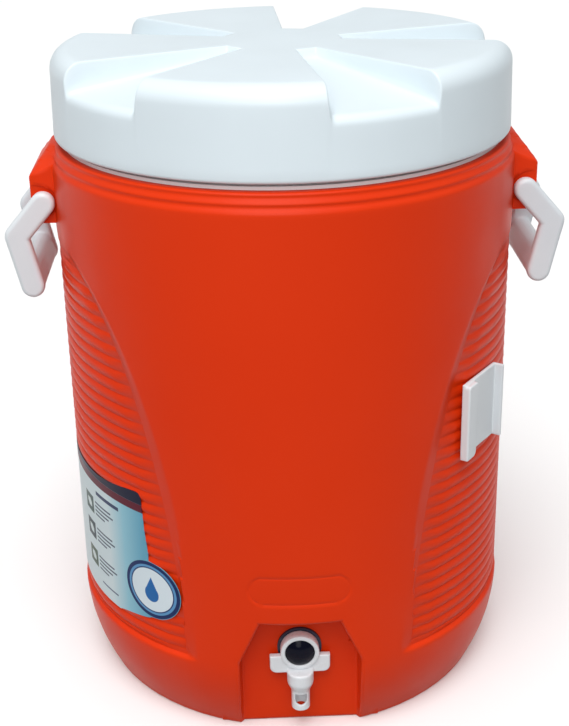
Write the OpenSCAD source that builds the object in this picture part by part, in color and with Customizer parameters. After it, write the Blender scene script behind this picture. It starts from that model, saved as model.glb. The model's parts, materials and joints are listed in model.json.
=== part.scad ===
// Large insulated water jug with a screw lid, two swinging bail handles and a push-button spigot.
// The origin is the centre of the foot, +Z is up, the spigot faces -Y and the handles are on +X and -X.

/* [Body] */
// Radius of the smooth outer wall
body_r = 161; // [150:1:175]
// Height of the outer shell's shoulder
shoulder_z = 397; // [380:1:420]
// Wall thickness of the outer shell
shell_wall = 4.5; // [3.5:0.5:6]
// Inner radius of the reservoir
liner_r = 131; // [120:1:133]
// Height of the reservoir floor
liner_floor_z = 43; // [40:1:60]
// Wall thickness of the inner liner
liner_wall = 3; // [2:0.5:3]

/* [Ribbed side panels] */
// Height of the first rib above the ground
rib_start_z = 59; // [50:1:80]
// Height of one rib and one groove
rib_pitch = 8.4; // [7:0.1:10]
// Number of ribs up the side
rib_count = 33; // [20:1:34]

/* [Lid] */
// Radius of the lid's skirt
lid_r = 157.5; // [150:0.5:160]
// Height of the skirt's lower edge when closed
lid_bottom_z = 402; // [400:1:410]
// Height of the lid's top face when closed
lid_top_z = 460; // [450:1:470]
// Number of wedge-shaped grip valleys
valley_count = 5; // [3:1:6]
// Direction of the first valley, measured from the front towards +X
valley_first = -50; // [-90:1:90]

/* [Thread] */
// Rise of the lid in one full turn
thread_lead = 30; // [24:1:36]
// Number of thread starts
thread_starts = 3; // [2:1:4]

/* [Handles] */
// Distance of the handle pivots from the jug's axis
pivot_x = 165; // [163:0.5:168]
// Height of the handle pivots
pivot_z = 360.5; // [350:0.5:370]
// Half the width of the lug between a handle's arms
lug_half = 34; // [28:1:40]
// Width of a handle arm
arm_w = 17.3; // [14:0.1:18]
// Thickness of a handle arm
arm_t = 9.1; // [7:0.1:10]

/* [Spigot] */
// Height of the spigot's axis
spigot_z = 63; // [62:1:72]
// Distance of the recess floor from the jug's axis
recess_y = 137.5; // [136:0.5:142]

/* [Cup bracket] */
// Direction of the bracket, measured from the front towards +X
bracket_az = 54; // [45:1:60]
// Height of the bracket plate's lower edge
bracket_z = 196; // [150:1:230]

/* [Hidden] */
$fn = 96;
round_fn = 180;     // facets of the large round forms where a mesh is wanted
fit = 0.2;          // gap between pieces of the body that are packed against each other
run = 0.06;         // radial clearance of a running pin

// Body
foot_curve_r = 125;                         // radius of the curve that draws the wall in to the foot
foot_curve_z = 60;                          // height where that curve starts
foot_recess_r = 128;                        // the base is raised inside this radius
foot_recess_h = 3;
shell_neck_r = 149.5;                       // hole in the shoulder that the neck passes through
shoulder_wall = 3;
bead_depth = 1.4;                           // how far each step of the shoulder goes in
bead_h = 5;
bead_edge = 1.4;                            // height of the slope between two steps
bead_z = shoulder_z - 2 * bead_h - 0.6;     // top of the first slope
neck_r = 148;
neck_foot_z = shoulder_z - 6;               // the neck's wall reaches down into the foam
neck_top_z = 428;
flange_r = 151.8;
flange_t = 2.5;
plug_x = 60;                                // foam filling holes in the base
plug_r = 9;

// Ribbed panels: an arch on each side, whose half angle shrinks with height
arch_angle = 60;
arch_top_z = 338;
rib_crest_r = body_r - 1.5;
rib_groove_r = body_r - 3.6;
rib_crest_h = 1.6;
rib_ramp_h = 1.6;

// Lid
lid_wall = 3;
lid_top_wall = 3.5;
lid_edge_r = 13;
panel_z = 430.7;
panel_t = 2.3;
panel_skirt_r = 129.4;
panel_skirt_h = 16;
valley_in = 42;                             // distance of a valley's narrow end from the lid's centre
valley_in_half = 7;
valley_out_half = 38;
valley_in_drop = 6;
valley_out_drop = 19.5;

// Thread: ridges on the neck and in the lid lie on one helix, half a thread spacing apart
neck_thread_tip = 151.2;
lid_thread_tip = 149.4;
neck_thread_z = 404.5;
neck_thread_from = 1.3;
neck_thread_turn = 200;
lid_thread_z = neck_thread_z - thread_lead / thread_starts / 2;
lid_thread_from = 76.3;
lid_thread_turn = 90;
ridge_root = 1.7;                           // how deep a ridge is rooted in its wall
ridge_root_half = 2.2;
ridge_tip_half = 1.3;

// Lugs and handles
lug_out_x = 173.5;
lug_low_z = 345;
lug_root_x = 150;                           // the lug is rooted in the wall
lug_chamfer = 5;
lug_roof_z = 378.5;                         // the sloping roof runs from here to the shoulder
lug_top_z = shoulder_z - 1.5;
pin_r = 5;
pin_len = 6.5;
pin_hole_len = 7;
arm_gap = 0.4;
elbow = [184.6, 338];
heel = [176.6, 302];
grip_rise = [2.6, 7.6];
pocket_r = arm_w / 2 + 1;

// Spigot, in a frame whose local Z points out of the recess
recess_top_z = 94.5;
recess_side_z = 61;
recess_top_half = 27.5;
recess_side_half = 42;
recess_wall = 3;
liner_foot = 4;                             // bevel where the liner's wall meets its floor
pad_in = 129;                               // the liner's flat pad around the spigot hole
pad_r = 17.5;
shank_r = 9.8;
shank_hole_r = 10.1;
shank_in = 114;
gasket_t = 2;
gasket_r = 15.5;
barrel_in = recess_y + gasket_t;
barrel_out = 147.5;
barrel_r = 13.6;
chamber_r = 11.5;
chamber_in = 140.7;
spring_room_r = 8.6;                        // the spring's room, inside the shank
spring_room_in = 131.5;                     // outer face of the valve seat
seat_in = 129.5;                            // inner face of the valve seat
seat_bore_r = 4.4;
inlet_r = 7.2;
ring_t = 2;
ring_bore_r = 10.4;
button_r = 10.3;
button_flange_r = 11.3;
button_flange_t = 1.5;
button_dome_r = 15.6;
button_out = 150.5;
stem_r = 2.5;
seal_r = 6.4;
seal_t = 3;
spout_at = 147;                             // distance of the spout's axis from the jug's axis
spout_r = 9.3;
tip_r = 6.5;
tip_z = 18.5;
neck_low_z = 33;                            // the spout narrows between these two heights
neck_high_z = 40;
spout_top_z = spigot_z - barrel_r - 0.4;
feed_r = 2.2;                               // the way down from the chamber into the spout
feed_at = 143.2;
spout_bore_r = 6.1;
tip_bore_r = 4.6;
window_half = 4;
window_h = 13.5;                            // top and bottom of the window, above the tip
window_foot = 4.5;
wing_half = 21.2;
wing_t = 5;
wing_at = 140.4;

// Bracket, in a frame whose -Y points out of the body
plate_back = rib_crest_r + 0.2;
plate_t = 2.6;
plate_h = 54;
plate_from = -29;                           // ends of the plate, across
plate_to = 18;
edge_w = 13;                                // thick front edge: width, how far it stands up and hangs down
edge_up = 3.6;
edge_down = 2;
edge_round = 4;
lip_up = 6;
peg_r = 3;
peg_heights = [14, 45];
peg_at = -3;

// Label, a thin sheet that lies on the ribs
label_from = -104;                          // directions of its two ends, measured from the front towards +X
label_to = -41.5;
label_low_z = 73;
label_high_z = 179;
label_t = 0.4;
tab_az = -41;                               // round tab
tab_z = 104;
tab_r = 23.5;

// A wall that goes straight down from the shoulder and then curves in to the foot
function wall_r(z) = z >= foot_curve_z ? body_r
    : body_r - (foot_curve_r - sqrt(pow(foot_curve_r, 2) - pow(foot_curve_z - z, 2)));
foot_zs = [for (i = [0:12]) foot_curve_z * i / 12];
// Half angle of the ribbed arch at a height
function arch_half(z) = arch_angle
    * pow(1 - pow(max(0, z - rib_start_z) / (arch_top_z - rib_start_z), 1.6), 0.28);

module at_spigot() {
    translate([0, 0, spigot_z]) rotate([90, 0, 0]) children();
}

// A tube along the spigot's axis between two distances from the jug's axis
module spigot_tube(r_out, r_in, from, to) {
    at_spigot() translate([0, 0, from]) difference() {
        cylinder(r = r_out, h = to - from);
        if (r_in > 0)
            translate([0, 0, -1]) cylinder(r = r_in, h = to - from + 2);
    }
}

// Outline of the spigot recess, seen from the front, grown by a margin
module recess_outline(grow) {
    polygon([
        [-recess_side_half - grow, -5], [recess_side_half + grow, -5],
        [recess_side_half + grow, recess_side_z + grow / 2],
        [recess_top_half + grow / 2, recess_top_z + grow],
        [-recess_top_half - grow / 2, recess_top_z + grow],
        [-recess_side_half - grow, recess_side_z + grow / 2]
    ]);
}

module recess_block(grow, floor_y) {
    translate([0, -floor_y, 0]) rotate([90, 0, 0])
        linear_extrude(60) recess_outline(grow);
}

module outer_solid() {
    rotate_extrude($fn = round_fn) polygon(concat(
        [[0, foot_recess_h], [foot_recess_r, foot_recess_h], [foot_recess_r + 2, 0]],
        [for (z = foot_zs) [wall_r(z), z]],
        [
            [body_r, bead_z - bead_edge], [body_r - bead_depth, bead_z],
            [body_r - bead_depth, bead_z + bead_h - bead_edge],
            [body_r - 2 * bead_depth, bead_z + bead_h],
            [body_r - 2 * bead_depth, shoulder_z - bead_edge],
            [body_r - 2 * bead_depth - bead_edge, shoulder_z], [0, shoulder_z]
        ]
    ));
}

// Everything inside the shell's wall
module shell_hollow(gap) {
    difference() {
        rotate_extrude($fn = round_fn) polygon(concat(
            [[0, foot_recess_h + shell_wall + gap]],
            [for (z = foot_zs) if (z > foot_recess_h + shell_wall + 1)
                [wall_r(z) - shell_wall - gap, z + gap]],
            [
                [body_r - shell_wall - gap, bead_z - shoulder_wall],
                [body_r - shell_wall - 2 * bead_depth - gap, shoulder_z - shoulder_wall - gap],
                [0, shoulder_z - shoulder_wall - gap]
            ]
        ));
        recess_block(recess_wall + gap, recess_y - recess_wall - gap);
    }
}

module lug() {
    translate([0, lug_half, 0]) rotate([90, 0, 0]) linear_extrude(2 * lug_half) polygon([
        [lug_root_x, lug_low_z], [lug_out_x - lug_chamfer, lug_low_z], [lug_out_x, lug_low_z + lug_chamfer],
        [lug_out_x, lug_roof_z], [body_r, lug_top_z], [lug_root_x, lug_top_z]
    ]);
}

// Sockets for the handle's pins and the pockets that its arm ends turn in
module lug_cuts() {
    for (s = [-1, 1])
        translate([pivot_x, s * lug_half, pivot_z]) rotate([90 * s, 0, 0]) {
            translate([0, 0, -0.01]) cylinder(r = pin_r + run, h = pin_hole_len);
            translate([0, 0, -arm_t - arm_gap - 1]) cylinder(r = pocket_r, h = arm_t + arm_gap + 1);
        }
}

// The region that the ribs are cut into: arches on the two sides
module rib_arches() {
    zs = [for (i = [0:20]) rib_start_z + (arch_top_z - rib_start_z - 0.5) * i / 20];
    right = [for (z = zs) [body_r * sin(arch_half(z)), z]];
    left = [for (i = [20:-1:0]) [-right[i][0], right[i][1]]];
    for (s = [-1, 1])
        translate([s > 0 ? 60 : -200, 0, 0]) rotate([90, 0, 90])
            linear_extrude(140) polygon(concat(right, left));
}

module rib_ring() {
    rotate_extrude($fn = round_fn) polygon(concat(
        [[body_r + 5, rib_start_z], [rib_crest_r, rib_start_z]],
        [for (i = [0:rib_count - 1]) let (z = rib_start_z + i * rib_pitch)
            each [
                [rib_crest_r, z + rib_crest_h / 2],
                [rib_groove_r, z + rib_crest_h / 2 + rib_ramp_h],
                [rib_groove_r, z + rib_pitch - rib_crest_h / 2 - rib_ramp_h],
                [rib_crest_r, z + rib_pitch - rib_crest_h / 2]
            ]],
        [[rib_crest_r, rib_start_z + rib_count * rib_pitch],
            [body_r + 5, rib_start_z + rib_count * rib_pitch]]
    ));
}

module outer_shell() {
    color("orangered") difference() {
        union() {
            outer_solid();
            lug();
            mirror([1, 0, 0]) lug();
        }
        shell_hollow(0);
        translate([0, 0, shoulder_z - 10]) cylinder(r = shell_neck_r, h = 20);
        intersection() {
            rib_ring();
            rib_arches();
        }
        recess_block(0, recess_y);
        lug_cuts();
        mirror([1, 0, 0]) lug_cuts();
        spigot_tube(shank_hole_r, 0, 120, recess_y + 5);
        bracket_pegs(run);
        for (s = [-1, 1])
            translate([s * plug_x, 0, 0]) cylinder(r = plug_r, h = 20);
    }
}

module liner_outside(gap) {
    rotate_extrude($fn = round_fn) polygon([
        [0, liner_floor_z - liner_wall - gap],
        [liner_r + liner_wall + gap - liner_foot, liner_floor_z - liner_wall - gap],
        [liner_r + liner_wall + gap, liner_floor_z - liner_wall + liner_foot - gap],
        [liner_r + liner_wall + gap, neck_top_z], [0, neck_top_z]
    ]);
}

module foam_fill() {
    color("lightyellow") difference() {
        union() {
            shell_hollow(fit);
            // collar of foam inside the neck
            translate([0, 0, neck_foot_z])
                cylinder(r = neck_r - liner_wall - fit, h = neck_top_z - liner_wall - fit - neck_foot_z,
                    $fn = round_fn);
        }
        liner_outside(fit);
        // room for the foot of the neck's wall
        translate([0, 0, neck_foot_z - fit]) difference() {
            cylinder(r = neck_r + fit, h = 20, $fn = round_fn);
            translate([0, 0, -1]) cylinder(r = neck_r - liner_wall - fit, h = 22, $fn = round_fn);
        }
        spigot_tube(pad_r + 1, 0, 120, recess_y);
    }
}

// One thread ridge: a trapezoid swept along a helix from one angle through a turn
module thread_ridge(root_r, tip_r, z, from, turn) {
    steps = ceil(turn / 5);
    points = [for (i = [0:steps]) let (a = from + turn * i / steps, h = z + thread_lead * a / 360)
        each [
            [root_r * cos(a), root_r * sin(a), h - ridge_root_half],
            [tip_r * cos(a), tip_r * sin(a), h - ridge_tip_half],
            [tip_r * cos(a), tip_r * sin(a), h + ridge_tip_half],
            [root_r * cos(a), root_r * sin(a), h + ridge_root_half]
        ]];
    inward = tip_r < root_r;
    sides = [for (i = [0:steps - 1], j = [0:3]) let (k = (j + 1) % 4)
        inward ? [4 * i + j, 4 * (i + 1) + j, 4 * (i + 1) + k, 4 * i + k]
               : [4 * i + k, 4 * (i + 1) + k, 4 * (i + 1) + j, 4 * i + j]];
    ends = inward ? [[0, 1, 2, 3], [4 * steps + 3, 4 * steps + 2, 4 * steps + 1, 4 * steps]]
                  : [[3, 2, 1, 0], [4 * steps, 4 * steps + 1, 4 * steps + 2, 4 * steps + 3]];
    polyhedron(points = points, faces = concat(sides, ends));
}

module inner_liner() {
    color("white") union() {
        difference() {
            union() {
                rotate_extrude($fn = round_fn) polygon([
                    [0, liner_floor_z - liner_wall],
                    [liner_r + liner_wall - liner_foot, liner_floor_z - liner_wall],
                    [liner_r + liner_wall, liner_floor_z - liner_wall + liner_foot],
                    [liner_r + liner_wall, neck_top_z - liner_wall],
                    [neck_r - liner_wall, neck_top_z - liner_wall],
                    [neck_r - liner_wall, neck_foot_z], [neck_r, neck_foot_z],
                    [neck_r, shoulder_z + fit], [flange_r, shoulder_z + fit],
                    [flange_r, shoulder_z + flange_t], [neck_r, shoulder_z + flange_t],
                    [neck_r, neck_top_z], [liner_r, neck_top_z],
                    [liner_r, liner_floor_z + liner_foot], [liner_r - liner_foot, liner_floor_z],
                    [0, liner_floor_z]
                ]);
                spigot_tube(pad_r, 0, pad_in, recess_y - recess_wall - fit);
            }
            spigot_tube(shank_hole_r, 0, 110, recess_y);
        }
        for (k = [0:thread_starts - 1])
            rotate([0, 0, 360 * k / thread_starts])
                thread_ridge(neck_r - ridge_root, neck_thread_tip, neck_thread_z,
                    neck_thread_from, neck_thread_turn);
    }
}

module foam_plugs() {
    color("darkorange")
        for (s = [-1, 1])
            translate([s * plug_x, 0, foot_recess_h + 0.6])
                cylinder(r = plug_r - fit / 2, h = shell_wall - 0.8);
}

// One wedge-shaped valley of the lid, grown by a margin
module valley(grow) {
    out = lid_r + 5;
    slope = (valley_out_drop - valley_in_drop) / (lid_r - valley_in);
    intersection() {
        translate([0, 0, lid_bottom_z]) linear_extrude(100) polygon([
            [-valley_in_half - grow, -valley_in + grow], [-valley_out_half - grow, -out],
            [valley_out_half + grow, -out], [valley_in_half + grow, -valley_in + grow]
        ]);
        translate([-100, 0, 0]) rotate([90, 0, 90]) linear_extrude(200) polygon([
            [-out, lid_top_z - valley_out_drop - slope * (out - lid_r) - grow],
            [-valley_in + grow, lid_top_z - valley_in_drop - grow],
            [-valley_in + grow, lid_top_z + 20], [-out, lid_top_z + 20]
        ]);
    }
}

module valleys(grow) {
    for (k = [0:valley_count - 1])
        rotate([0, 0, valley_first + 360 * k / valley_count]) valley(grow);
}

// Hollow between the lid's cover and its inner panel
module lid_hollow(gap) {
    difference() {
        rotate_extrude($fn = round_fn) polygon(concat(
            [[0, panel_z + panel_t + gap], [lid_r - lid_wall - 1 - gap, panel_z + panel_t + gap]],
            [for (a = [0:15:90]) [lid_r - lid_wall - 1 - gap - lid_edge_r * (1 - cos(a)),
                lid_top_z - lid_top_wall - lid_edge_r - gap + lid_edge_r * sin(a)]],
            [[0, lid_top_z - lid_top_wall - gap]]
        ));
        valleys(lid_wall + gap);
    }
}

module lid_cover() {
    color("whitesmoke") union() {
        difference() {
            rotate_extrude($fn = round_fn) polygon(concat(
                [[0, lid_bottom_z], [lid_r - 1, lid_bottom_z], [lid_r, lid_bottom_z + 2]],
                [for (a = [0:15:90]) [lid_r - 1 - lid_edge_r * (1 - cos(a)),
                    lid_top_z - lid_edge_r + lid_edge_r * sin(a)]],
                [[0, lid_top_z]]
            ));
            valleys(0);
            lid_hollow(0);
            translate([0, 0, lid_bottom_z - 1])
                cylinder(r = lid_r - lid_wall, h = panel_z + panel_t - lid_bottom_z + 1.01, $fn = round_fn);
        }
        for (k = [0:thread_starts - 1])
            rotate([0, 0, 360 * k / thread_starts])
                thread_ridge(lid_r - lid_wall + ridge_root, lid_thread_tip, lid_thread_z,
                    lid_thread_from, lid_thread_turn);
    }
}

module lid_foam() {
    color("lightyellow") lid_hollow(fit);
}

module lid_inner_panel() {
    color("white") union() {
        translate([0, 0, panel_z])
            cylinder(r = lid_r - lid_wall - 0.1, h = panel_t, $fn = round_fn);
        translate([0, 0, panel_z - panel_skirt_h]) difference() {
            cylinder(r = panel_skirt_r, h = panel_skirt_h + 1, $fn = round_fn);
            translate([0, 0, -1]) cylinder(r = panel_skirt_r - 2.5, h = panel_skirt_h + 1, $fn = round_fn);
        }
    }
}

module lid_gasket() {
    color("dimgray") translate([0, 0, neck_top_z + 0.1]) difference() {
        cylinder(r = neck_r - 2, h = panel_z - neck_top_z - 0.2, $fn = round_fn);
        translate([0, 0, -1]) cylinder(r = liner_r + 3, h = 5, $fn = round_fn);
    }
}

// Points of an arc about a centre
function arc(c, r, from, to, n = 10) =
    [for (i = [0:n]) let (a = from + (to - from) * i / n) c + r * [cos(a), sin(a)]];

// Outline of a straight bar with round ends
function bar_outline(a, b, r) = let (d = b - a, h = atan2(d[1], d[0]))
    concat(arc(a, r, h + 90, h + 270), arc(b, r, h - 90, h + 90));

// Outline of an arm that bends once, to the right on its way from a through b to c
function arm_outline(a, b, c, r) =
    let (h1 = atan2(b[1] - a[1], b[0] - a[0]), h2 = atan2(c[1] - b[1], c[0] - b[0]), mid = (h1 + h2) / 2)
    concat(
        arc(c, r, h2 - 90, h2 + 90),
        arc(b, r, h2 + 90, h1 + 90, 6),
        arc(a, r, h1 + 90, h1 + 270),
        [b + r / cos((h1 - h2) / 2) * [cos(mid - 90), sin(mid - 90)]]
    );

module handle() {
    arm_in = lug_half + arm_gap;
    rotate([90, 0, 0]) {
        for (s = [-1, 1])
            translate([0, 0, s > 0 ? arm_in : -arm_in - arm_t])
                linear_extrude(arm_t)
                    polygon(arm_outline([pivot_x, pivot_z], elbow, heel, arm_w / 2));
        translate([0, 0, -arm_in - 1])
            linear_extrude(2 * arm_in + 2)
                polygon(bar_outline(heel, heel + grip_rise, arm_w / 2 - 0.4));
        for (s = [-1, 1])
            translate([pivot_x, pivot_z, s > 0 ? arm_in - pin_len : -arm_in - 1])
                cylinder(r = pin_r, h = pin_len + 1);
    }
}

module handle_right() {
    color("white") handle();
}

module handle_left() {
    color("white") mirror([1, 0, 0]) handle();
}

// Wings that give the fingers a hold while the thumb pushes the button
function wing_outline() = concat(
    [[wing_half, -3.5], [-wing_half, -3.5]],
    arc([-wing_half + 5, -12.5], 5, 180, 270, 6),
    arc([wing_half - 5, -12.5], 5, 270, 360, 6)
);

// Opening in the front of the spout's tip
function window_outline() = concat(
    [[window_half, tip_z + window_h], [-window_half, tip_z + window_h]],
    arc([0, tip_z + window_half + window_foot], window_half, 180, 360)
);

module spigot_body() {
    color("whitesmoke") difference() {
        union() {
            at_spigot() {
                translate([0, 0, shank_in]) cylinder(r = shank_r, h = barrel_in - shank_in + 1);
                translate([0, 0, barrel_in]) cylinder(r = barrel_r, h = barrel_out - ring_t - barrel_in);
                translate([0, 0, wing_at]) linear_extrude(wing_t) polygon(wing_outline());
            }
            difference() {
                translate([0, -spout_at, 0]) rotate_extrude() polygon([
                    [0, tip_z], [tip_r, tip_z], [tip_r, neck_low_z], [spout_r, neck_high_z],
                    [spout_r, spout_top_z], [0, spout_top_z]
                ]);
                // flat back in front of the gasket
                translate([-spout_r, -barrel_in, neck_high_z]) cube([2 * spout_r, barrel_r, barrel_r * 2]);
            }
        }
        at_spigot() {
            translate([0, 0, shank_in - 1]) cylinder(r = inlet_r, h = seat_in - shank_in + 1);
            translate([0, 0, seat_in - 1]) cylinder(r = seat_bore_r, h = 5);
            translate([0, 0, spring_room_in])
                cylinder(r = spring_room_r, h = chamber_in - spring_room_in + 1);
            translate([0, 0, chamber_in]) cylinder(r = chamber_r, h = 30);
        }
        translate([0, -spout_at, 0]) rotate_extrude() polygon([
            [0, tip_z - 1], [tip_bore_r, tip_z - 1], [tip_bore_r, neck_low_z + 1],
            [spout_bore_r, neck_high_z + 1], [spout_bore_r, spout_top_z - 2], [0, spout_top_z - 2]
        ]);
        translate([0, -feed_at, spout_top_z - 5]) cylinder(r = feed_r, h = 8);
        translate([0, -spout_at, 0]) rotate([90, 0, 0]) linear_extrude(20) polygon(window_outline());
    }
}

module spigot_retaining_ring() {
    color("white") spigot_tube(barrel_r, ring_bore_r, barrel_out - ring_t + 0.02, barrel_out);
}

module spigot_button() {
    flange_out = barrel_out - ring_t - 0.1;
    color("midnightblue") at_spigot() union() {
        translate([0, 0, flange_out - button_flange_t]) cylinder(r = button_flange_r, h = button_flange_t);
        translate([0, 0, flange_out - 1]) cylinder(r = button_r, h = barrel_out - flange_out + 0.5);
        // domed face
        translate([0, 0, barrel_out - 1]) intersection() {
            translate([0, 0, button_out - barrel_out + 1 - button_dome_r]) sphere(r = button_dome_r);
            cylinder(r = button_r, h = button_dome_r);
        }
    }
}

module spigot_stem() {
    color("white") spigot_tube(stem_r, 0, seat_in - seal_t - 2, barrel_out - ring_t - button_flange_t - 0.15);
}

module spigot_valve_seal() {
    color("dimgray") spigot_tube(seal_r, stem_r + 0.02, seat_in - seal_t, seat_in - 0.02);
}

// The return spring between the valve seat and the button, as an open coil
module spigot_spring() {
    turns = 4;
    wire_r = 0.6;
    coil_r = 7.6;
    low = spring_room_in + wire_r + 0.1;
    high = barrel_out - ring_t - button_flange_t - 0.2 - wire_r;
    steps = turns * 20;
    sides = 6;
    points = [for (i = [0:steps]) let (a = 360 * turns * i / steps, h = low + (high - low) * i / steps)
        for (j = [0:sides - 1]) let (b = 360 * j / sides, r = coil_r + wire_r * cos(b))
            [r * cos(a), r * sin(a), h + wire_r * sin(b)]];
    walls = [for (i = [0:steps - 1], j = [0:sides - 1]) let (k = (j + 1) % sides)
        [sides * i + k, sides * (i + 1) + k, sides * (i + 1) + j, sides * i + j]];
    caps = [[for (j = [sides - 1:-1:0]) j], [for (j = [0:sides - 1]) sides * steps + j]];
    color("silver") at_spigot() polyhedron(points = points, faces = concat(walls, caps));
}

module spigot_outer_gasket() {
    color("midnightblue") spigot_tube(gasket_r, shank_r + 0.1, recess_y + 0.02, barrel_in - 0.02);
}

module spigot_inner_gasket() {
    color("dimgray") spigot_tube(gasket_r, shank_r + 0.1, pad_in - gasket_t, pad_in - 0.02);
}

module spigot_nut() {
    nut_t = 8;
    color("white") at_spigot() translate([0, 0, pad_in - gasket_t - nut_t - 0.02]) difference() {
        union() {
            cylinder(r = 17, h = nut_t, $fn = 6);
            translate([0, 0, nut_t - 2]) cylinder(r = 17, h = 2);
        }
        translate([0, 0, -1]) cylinder(r = shank_r + run, h = nut_t + 2);
    }
}

// Two pegs on the bracket's back that press into the shell
module bracket_pegs(gap) {
    peg_end = body_r - shell_wall + (gap > 0 ? -3 : 0.6);
    rotate([0, 0, bracket_az])
        for (z = peg_heights)
            translate([peg_at, -peg_end, bracket_z + z]) rotate([90, 0, 0])
                cylinder(r = peg_r + gap, h = plate_back + 1 - peg_end);
}

module cup_bracket() {
    face = plate_back + plate_t;
    color("whitesmoke") union() {
        rotate([0, 0, bracket_az]) {
            translate([plate_from, -face, bracket_z]) cube([plate_to - plate_from, plate_t, plate_h]);
            // thick front edge, longer than the plate at the bottom and round at that corner
            translate([plate_from, -face - edge_up, bracket_z - edge_down + edge_round])
                cube([edge_w, edge_up + plate_t, plate_h - 1]);
            translate([plate_from, -face - edge_up, bracket_z - edge_down])
                cube([edge_w - edge_round, edge_up + plate_t, edge_round + 1]);
            translate([plate_from + edge_w - edge_round, -face - edge_up, bracket_z - edge_down + edge_round])
                rotate([-90, 0, 0]) cylinder(r = edge_round, h = edge_up + plate_t);
            // lip along the rear edge
            translate([plate_to - plate_t, -face - lip_up, bracket_z])
                cube([plate_t, lip_up + plate_t, plate_h]);
        }
        bracket_pegs(0);
    }
}

// Printed wrap label on the left side, with a round tab at its front lower corner
module label() {
    label_in = rib_crest_r + 0.15;
    reach = label_in + 10;
    color("lightblue") intersection() {
        difference() {
            translate([0, 0, label_low_z - 10])
                cylinder(r = label_in + label_t, h = label_high_z - label_low_z + 20, $fn = round_fn);
            translate([0, 0, label_low_z - 11])
                cylinder(r = label_in, h = label_high_z - label_low_z + 22, $fn = round_fn);
        }
        union() {
            rotate([0, 0, label_from - 90]) rotate_extrude(angle = label_to - label_from)
                translate([reach / 2, label_low_z]) square([reach / 2, label_high_z - label_low_z]);
            rotate([0, 0, tab_az]) translate([0, 0, tab_z]) rotate([90, 0, 0]) cylinder(r = tab_r, h = reach);
        }
    }
}

outer_shell();
foam_fill();
inner_liner();
foam_plugs();
lid_cover();
lid_foam();
lid_inner_panel();
lid_gasket();
handle_left();
handle_right();
spigot_body();
spigot_retaining_ring();
spigot_button();
spigot_stem();
spigot_valve_seal();
spigot_spring();
spigot_outer_gasket();
spigot_inner_gasket();
spigot_nut();
cup_bracket();
label();
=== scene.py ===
"""Looks of the large insulated drink jug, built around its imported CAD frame.

Lengths inside the mesh code are in millimetres unless a name says otherwise; every piece is scaled to
metres when its mesh is made. Angles called az are measured from the front (-Y) towards +X.
"""
import json
import math

import bpy
import bmesh
import numpy as np
from mathutils import Matrix, Vector

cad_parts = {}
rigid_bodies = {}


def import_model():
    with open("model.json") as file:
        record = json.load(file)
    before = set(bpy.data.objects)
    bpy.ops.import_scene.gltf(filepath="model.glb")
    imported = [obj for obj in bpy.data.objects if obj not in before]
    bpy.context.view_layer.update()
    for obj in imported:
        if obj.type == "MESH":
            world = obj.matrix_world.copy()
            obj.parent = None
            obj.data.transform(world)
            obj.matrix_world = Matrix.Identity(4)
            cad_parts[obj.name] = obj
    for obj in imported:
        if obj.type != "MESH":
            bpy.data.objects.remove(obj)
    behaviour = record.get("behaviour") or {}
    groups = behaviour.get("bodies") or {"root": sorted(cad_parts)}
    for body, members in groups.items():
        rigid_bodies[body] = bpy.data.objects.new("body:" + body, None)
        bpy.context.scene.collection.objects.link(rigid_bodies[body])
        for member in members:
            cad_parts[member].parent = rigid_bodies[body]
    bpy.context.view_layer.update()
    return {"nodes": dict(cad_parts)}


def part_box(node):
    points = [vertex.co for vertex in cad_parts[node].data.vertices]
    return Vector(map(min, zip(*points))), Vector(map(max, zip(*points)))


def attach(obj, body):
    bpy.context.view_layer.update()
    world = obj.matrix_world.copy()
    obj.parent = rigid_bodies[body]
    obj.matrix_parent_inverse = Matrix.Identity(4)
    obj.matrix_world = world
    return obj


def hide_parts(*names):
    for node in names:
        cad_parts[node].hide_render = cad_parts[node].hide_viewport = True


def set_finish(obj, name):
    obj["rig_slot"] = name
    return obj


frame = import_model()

MM = 0.001
NODES = frame["nodes"]

# ---- sizes, in millimetres


def box_mm(node):
    low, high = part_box(node)
    return np.array(low) / MM, np.array(high) / MM


SHELL_HIGH = box_mm("outer_shell")[1]
LID_LOW, LID_HIGH = box_mm("lid_cover")
BODY_R = SHELL_HIGH[1]                 # smooth outer wall
LUG_X = SHELL_HIGH[0]
LID_R = LID_HIGH[1]
LID_BOTTOM, LID_TOP = LID_LOW[2], LID_HIGH[2]
FOOT_CURVE_R, FOOT_CURVE_Z = 125.0, 60.0
RECESS_Y = 137.5
SPIGOT_Z = 63.0
PIVOT = (165.0, 360.5)


def smooth(t):
    t = np.clip(t, 0.0, 1.0)
    return t * t * (3 - 2 * t)


def soft_max(a, b, r):
    """The larger of two heights, with a fillet of about r where they cross."""
    d = np.clip(0.5 + 0.5 * (a - b) / r, 0.0, 1.0)
    return b + (a - b) * d + r * d * (1 - d) * 0.5


def soft_min(a, b, r):
    return -soft_max(-a, -b, r)


# ---- mesh helpers


def placed_object(name, data):
    ob = bpy.data.objects.new(name, data)
    bpy.context.scene.collection.objects.link(ob)
    return ob


def new_object(name, verts, faces, smooth_angle=35.0):
    """An object from points in millimetres; edges sharper than smooth_angle stay sharp."""
    mesh = bpy.data.meshes.new(name)
    mesh.from_pydata((np.asarray(verts, float) * MM).tolist(), [], [list(map(int, f)) for f in faces])
    mesh.validate()
    ob = placed_object(name, mesh)
    finish_shading(ob, smooth_angle)
    return ob


def finish_shading(ob, smooth_angle):
    mesh = ob.data
    mesh.polygons.foreach_set("use_smooth", [True] * len(mesh.polygons))
    mesh.set_sharp_from_angle(angle=math.radians(smooth_angle))
    mesh.update()


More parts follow.
